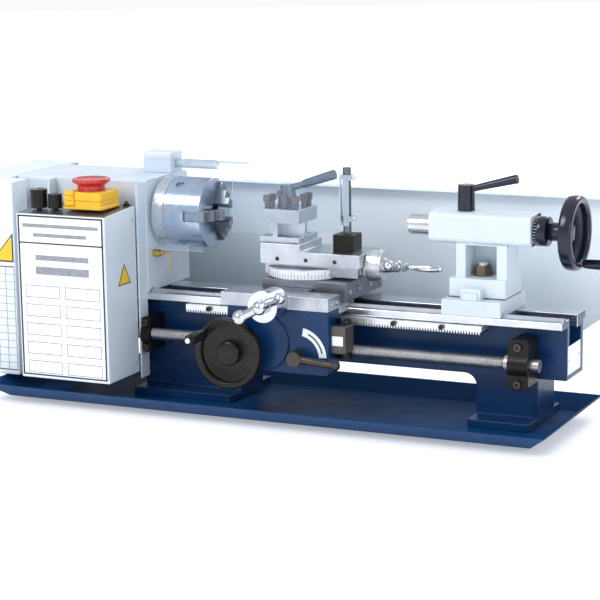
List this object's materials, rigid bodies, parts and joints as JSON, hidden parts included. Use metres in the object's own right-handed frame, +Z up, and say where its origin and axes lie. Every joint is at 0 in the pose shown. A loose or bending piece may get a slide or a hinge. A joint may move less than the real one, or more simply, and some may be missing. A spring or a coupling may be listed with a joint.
{
  "type": "metal lathe",
  "caption": "Bench metal lathe with geared headstock, jaw chuck, carriage with tool post, tailstock, chip tray and clear guards.",
  "frame": {"origin": "centre of the rectangle of bench bolts, on the bench plane under the rubber pads", "axes": "+X from the headstock to the tailstock, +Y away from the operator, +Z up"},
  "size_m": [0.793, 0.2916, 0.284],
  "materials": {
    "navy_paint": "gloss machine enamel",
    "tray_paint": "gloss enamel on sheet steel",
    "pale_paint": "semi-gloss machine enamel",
    "white_paint": "fine textured paint",
    "motor_black": "semi-matte paint",
    "machined_steel": "ground or turned",
    "chuck_steel": "ground and polished",
    "dark_steel": "blackened, worn at the edges",
    "chrome": "polished plate",
    "black_iron": "painted black",
    "black_rubber": "matte",
    "black_plastic": "moulded",
    "yellow_plastic": "moulded",
    "red_plastic": "moulded",
    "clear_sheet": "clear bent plastic sheet",
    "brass": "machined"
  },
  "bodies": {
    "machine": {"bed": "navy_paint", "chip_tray": "tray_paint", "rubber_feet": "black_rubber", "rack": "machined_steel", "frame_screws": "dark_steel", "headstock": "pale_paint", "gear_cover": "white_paint", "control_box": "pale_paint", "control_box_bracket": "pale_paint", "splash_guard": "pale_paint", "motor": "motor_black", "spindle_bearings": "machined_steel", "leadscrew_bracket_left": "black_iron", "leadscrew_bracket_right": "black_iron", "estop_base": "yellow_plastic", "drive_belt": "black_rubber", "guard_hinge_block": "black_plastic"},
    "spindle": {"spindle": "machined_steel", "spindle_pulley": "dark_steel", "chuck_body": "chuck_steel"},
    "scroll": {"chuck_scroll": "machined_steel"},
    "jaw_1": {"chuck_jaw_1": "dark_steel"},
    "jaw_2": {"chuck_jaw_2": "dark_steel"},
    "jaw_3": {"chuck_jaw_3": "dark_steel"},
    "motor_drive": {"motor_pulley": "dark_steel"},
    "stud": {"stud_gear": "black_iron"},
    "idler": {"idler_gear": "black_iron"},
    "leadscrew": {"leadscrew": "machined_steel"},
    "chuck_guard": {"chuck_guard": "clear_sheet"},
    "speed_knob": {"speed_knob": "black_plastic"},
    "direction_knob": {"direction_knob": "black_plastic"},
    "estop_lid": {"estop_lid": "yellow_plastic"},
    "estop_button": {"estop_button": "red_plastic"},
    "carriage": {"saddle": "navy_paint", "apron": "navy_paint"},
    "carriage_wheel": {"carriage_handwheel": "black_iron"},
    "carriage_handle": {"carriage_handle": "black_plastic"},
    "half_nut_lever": {"half_nut_lever": "dark_steel"},
    "nut_upper": {"half_nut_upper": "brass"},
    "nut_lower": {"half_nut_lower": "brass"},
    "thread_dial": {"thread_dial": "black_plastic"},
    "cross_crank": {"cross_crank": "chrome"},
    "cross_handle": {"cross_handle": "chrome"},
    "cross_slide": {"cross_slide": "machined_steel"},
    "swivel": {"compound_base": "machined_steel"},
    "compound": {"compound_slide": "machined_steel", "guard_post": "dark_steel"},
    "compound_crank": {"compound_crank": "chrome"},
    "compound_handle": {"compound_handle": "chrome"},
    "tool_post": {"tool_post": "machined_steel", "tool_post_bolts": "dark_steel"},
    "tool_post_lever": {"tool_post_lever": "dark_steel"},
    "tool_guard": {"tool_guard": "clear_sheet"},
    "tailstock": {"tailstock_base": "machined_steel", "tailstock_body": "pale_paint"},
    "quill": {"quill": "machined_steel"},
    "tail_wheel": {"tailstock_handwheel": "black_plastic"},
    "tail_handle": {"tailstock_handle": "black_plastic"},
    "quill_lock": {"quill_lock_lever": "black_plastic"},
    "tail_clamp": {"tailstock_clamp": "machined_steel"}
  },
  "joints": [
    {"name": "spindle_spin", "type": "hinge", "parent": "machine", "child": "spindle", "pos_m": [-0.208, 0, 0.215], "axis": [1, 0, 0], "continuous": true},
    {"name": "motor_spin", "type": "hinge", "parent": "machine", "child": "motor_drive", "pos_m": [-0.362, 0.08, 0.08], "axis": [1, 0, 0], "continuous": true},
    {"name": "stud_spin", "type": "hinge", "parent": "machine", "child": "stud", "pos_m": [-0.412, -0.014, 0.167], "axis": [1, 0, 0], "continuous": true},
    {"name": "idler_spin", "type": "hinge", "parent": "machine", "child": "idler", "pos_m": [-0.42, -0.02524, 0.12861], "axis": [1, 0, 0], "continuous": true},
    {"name": "leadscrew_spin", "type": "hinge", "parent": "machine", "child": "leadscrew", "pos_m": [-0.42, -0.05, 0.0795], "axis": [1, 0, 0], "continuous": true},
    {"name": "scroll_spin", "type": "hinge", "parent": "spindle", "child": "scroll", "pos_m": [-0.192, 0, 0.215], "axis": [1, 0, 0], "range_deg": [-288, 576]},
    {"name": "jaw_1_slide", "type": "slide", "parent": "spindle", "child": "jaw_1", "axis": [0, -1, 0], "range_m": [-0.0041, 0.0081]},
    {"name": "jaw_2_slide", "type": "slide", "parent": "spindle", "child": "jaw_2", "axis": [0, 0.5, 0.866], "range_m": [-0.0041, 0.0081]},
    {"name": "jaw_3_slide", "type": "slide", "parent": "spindle", "child": "jaw_3", "axis": [0, 0.5, -0.866], "range_m": [-0.0041, 0.0081]},
    {"name": "chuck_guard_hinge", "type": "hinge", "parent": "machine", "child": "chuck_guard", "pos_m": [-0.202, 0.036, 0.265], "axis": [-1, 0, 0], "range_deg": [0, 85]},
    {"name": "speed_turn", "type": "hinge", "parent": "machine", "child": "speed_knob", "pos_m": [-0.33, -0.106, 0.235], "axis": [0, 0, -1], "range_deg": [0, 270]},
    {"name": "direction_turn", "type": "hinge", "parent": "machine", "child": "direction_knob", "pos_m": [-0.3105, -0.103, 0.235], "axis": [0, 0, -1], "range_deg": [-45, 45]},
    {"name": "estop_lid_hinge", "type": "hinge", "parent": "machine", "child": "estop_lid", "pos_m": [-0.2715, -0.0635, 0.236], "axis": [-1, 0, 0], "range_deg": [0, 45]},
    {"name": "estop_press", "type": "slide", "parent": "estop_lid", "child": "estop_button", "axis": [0, 0, -1], "range_m": [0, 0.004], "stiffness_N_per_m": 800, "springref_m": -0.002},
    {"name": "carriage_wheel_spin", "type": "hinge", "parent": "carriage", "child": "carriage_wheel", "pos_m": [-0.091, -0.11, 0.079], "axis": [0, 1, 0], "range_deg": [-701, 441]},
    {"name": "carriage_slide", "type": "slide", "parent": "machine", "child": "carriage", "axis": [1, 0, 0], "range_m": [-0.035, 0.022]},
    {"name": "carriage_handle_spin", "type": "hinge", "parent": "carriage_wheel", "child": "carriage_handle", "pos_m": [-0.11628, -0.13, 0.10021], "axis": [0, -1, 0], "continuous": true},
    {"name": "half_nut_turn", "type": "hinge", "parent": "carriage", "child": "half_nut_lever", "pos_m": [-0.0156, -0.095, 0.0766], "axis": [0, 1, 0], "range_deg": [0, 25.2]},
    {"name": "nut_upper_slide", "type": "slide", "parent": "carriage", "child": "nut_upper", "axis": [0, 0, -1], "range_m": [0, 0.004]},
    {"name": "nut_lower_slide", "type": "slide", "parent": "carriage", "child": "nut_lower", "axis": [0, 0, 1], "range_m": [0, 0.0041]},
    {"name": "thread_dial_spin", "type": "hinge", "parent": "carriage", "child": "thread_dial", "pos_m": [0.0285, -0.066, 0.115], "axis": [0, 0, 1], "range_deg": [-255, 160]},
    {"name": "cross_crank_spin", "type": "hinge", "parent": "carriage", "child": "cross_crank", "pos_m": [-0.0434, -0.118, 0.136], "axis": [0, 1, 0], "range_deg": [-6490, 16210]},
    {"name": "cross_feed", "type": "slide", "parent": "carriage", "child": "cross_slide", "axis": [0, 1, 0], "range_m": [-0.018, 0.045]},
    {"name": "cross_handle_spin", "type": "hinge", "parent": "cross_crank", "child": "cross_handle", "pos_m": [-0.01934, -0.15, 0.14826], "axis": [0, -1, 0], "continuous": true},
    {"name": "compound_swivel", "type": "hinge", "parent": "cross_slide", "child": "swivel", "pos_m": [-0.045, 0, 0.158], "axis": [0, 0, -1], "range_deg": [-25, 45]},
    {"name": "compound_feed", "type": "slide", "parent": "swivel", "child": "compound", "axis": [-1, 0, 0], "range_m": [-0.02, 0]},
    {"name": "compound_crank_spin", "type": "hinge", "parent": "compound", "child": "compound_crank", "pos_m": [0.048, 0, 0.1665], "axis": [-1, 0, 0], "range_deg": [-7210, 0]},
    {"name": "compound_handle_spin", "type": "hinge", "parent": "compound_crank", "child": "compound_handle", "pos_m": [0.088, 0.024, 0.1616], "axis": [1, 0, 0], "continuous": true},
    {"name": "tool_post_turn", "type": "hinge", "parent": "compound", "child": "tool_post", "pos_m": [-0.069, 0.001, 0.215], "axis": [0, 0, 1], "continuous": true},
    {"name": "tool_post_lever_turn", "type": "hinge", "parent": "compound", "child": "tool_post_lever", "pos_m": [-0.069, 0.001, 0.235], "axis": [0, 0, 1], "range_deg": [0, 90]},
    {"name": "tool_guard_swing", "type": "hinge", "parent": "compound", "child": "tool_guard", "pos_m": [0.004, 0, 0.235], "axis": [0, 0, 1], "range_deg": [0, 90]},
    {"name": "tailstock_slide", "type": "slide", "parent": "machine", "child": "tailstock", "axis": [1, 0, 0], "range_m": [-0.022, 0.065]},
    {"name": "tail_wheel_spin", "type": "hinge", "parent": "tailstock", "child": "tail_wheel", "pos_m": [0.268, 0, 0.215], "axis": [-1, 0, 0], "range_deg": [-2890, 9610]},
    {"name": "quill_feed", "type": "slide", "parent": "tailstock", "child": "quill", "axis": [-1, 0, 0], "range_m": [-0.012, 0.04]},
    {"name": "tail_handle_spin", "type": "hinge", "parent": "tail_wheel", "child": "tail_handle", "pos_m": [0.298, 0.005, 0.1815], "axis": [1, 0, 0], "continuous": true},
    {"name": "quill_lock_turn", "type": "hinge", "parent": "tailstock", "child": "quill_lock", "pos_m": [0.1445, 0, 0.245], "axis": [0, 0, 1], "range_deg": [0, 60]},
    {"name": "tail_clamp_turn", "type": "hinge", "parent": "tailstock", "child": "tail_clamp", "pos_m": [0.164, 0, 0.17], "axis": [0, 0, 1], "range_deg": [0, 180]}
  ],
  "couplings": [
    {"joint": "motor_spin", "follows": "spindle_spin", "ratio": 2.3333},
    {"joint": "stud_spin", "follows": "spindle_spin", "ratio": -0.66667},
    {"joint": "idler_spin", "follows": "spindle_spin", "ratio": 0.4},
    {"joint": "leadscrew_spin", "follows": "spindle_spin", "ratio": -0.33333},
    {"joint": "jaw_1_slide", "follows": "scroll_spin", "m_per_rad": 0.00079577},
    {"joint": "jaw_2_slide", "follows": "scroll_spin", "m_per_rad": 0.00079577},
    {"joint": "jaw_3_slide", "follows": "scroll_spin", "m_per_rad": 0.00079577},
    {"joint": "carriage_wheel_spin", "follows": "carriage_slide", "rad_per_m": 349.07},
    {"joint": "thread_dial_spin", "follows": "carriage_slide", "rad_per_m": 125},
    {"joint": "half_nut_turn", "follows": "nut_upper_slide", "rad_per_m": 109.08},
    {"joint": "nut_lower_slide", "follows": "nut_upper_slide", "ratio": 1},
    {"joint": "cross_crank_spin", "follows": "cross_feed", "rad_per_m": 6283.2},
    {"joint": "compound_crank_spin", "follows": "compound_feed", "rad_per_m": 6283.2},
    {"joint": "tail_wheel_spin", "follows": "quill_feed", "rad_per_m": 4188.8}
  ]
}
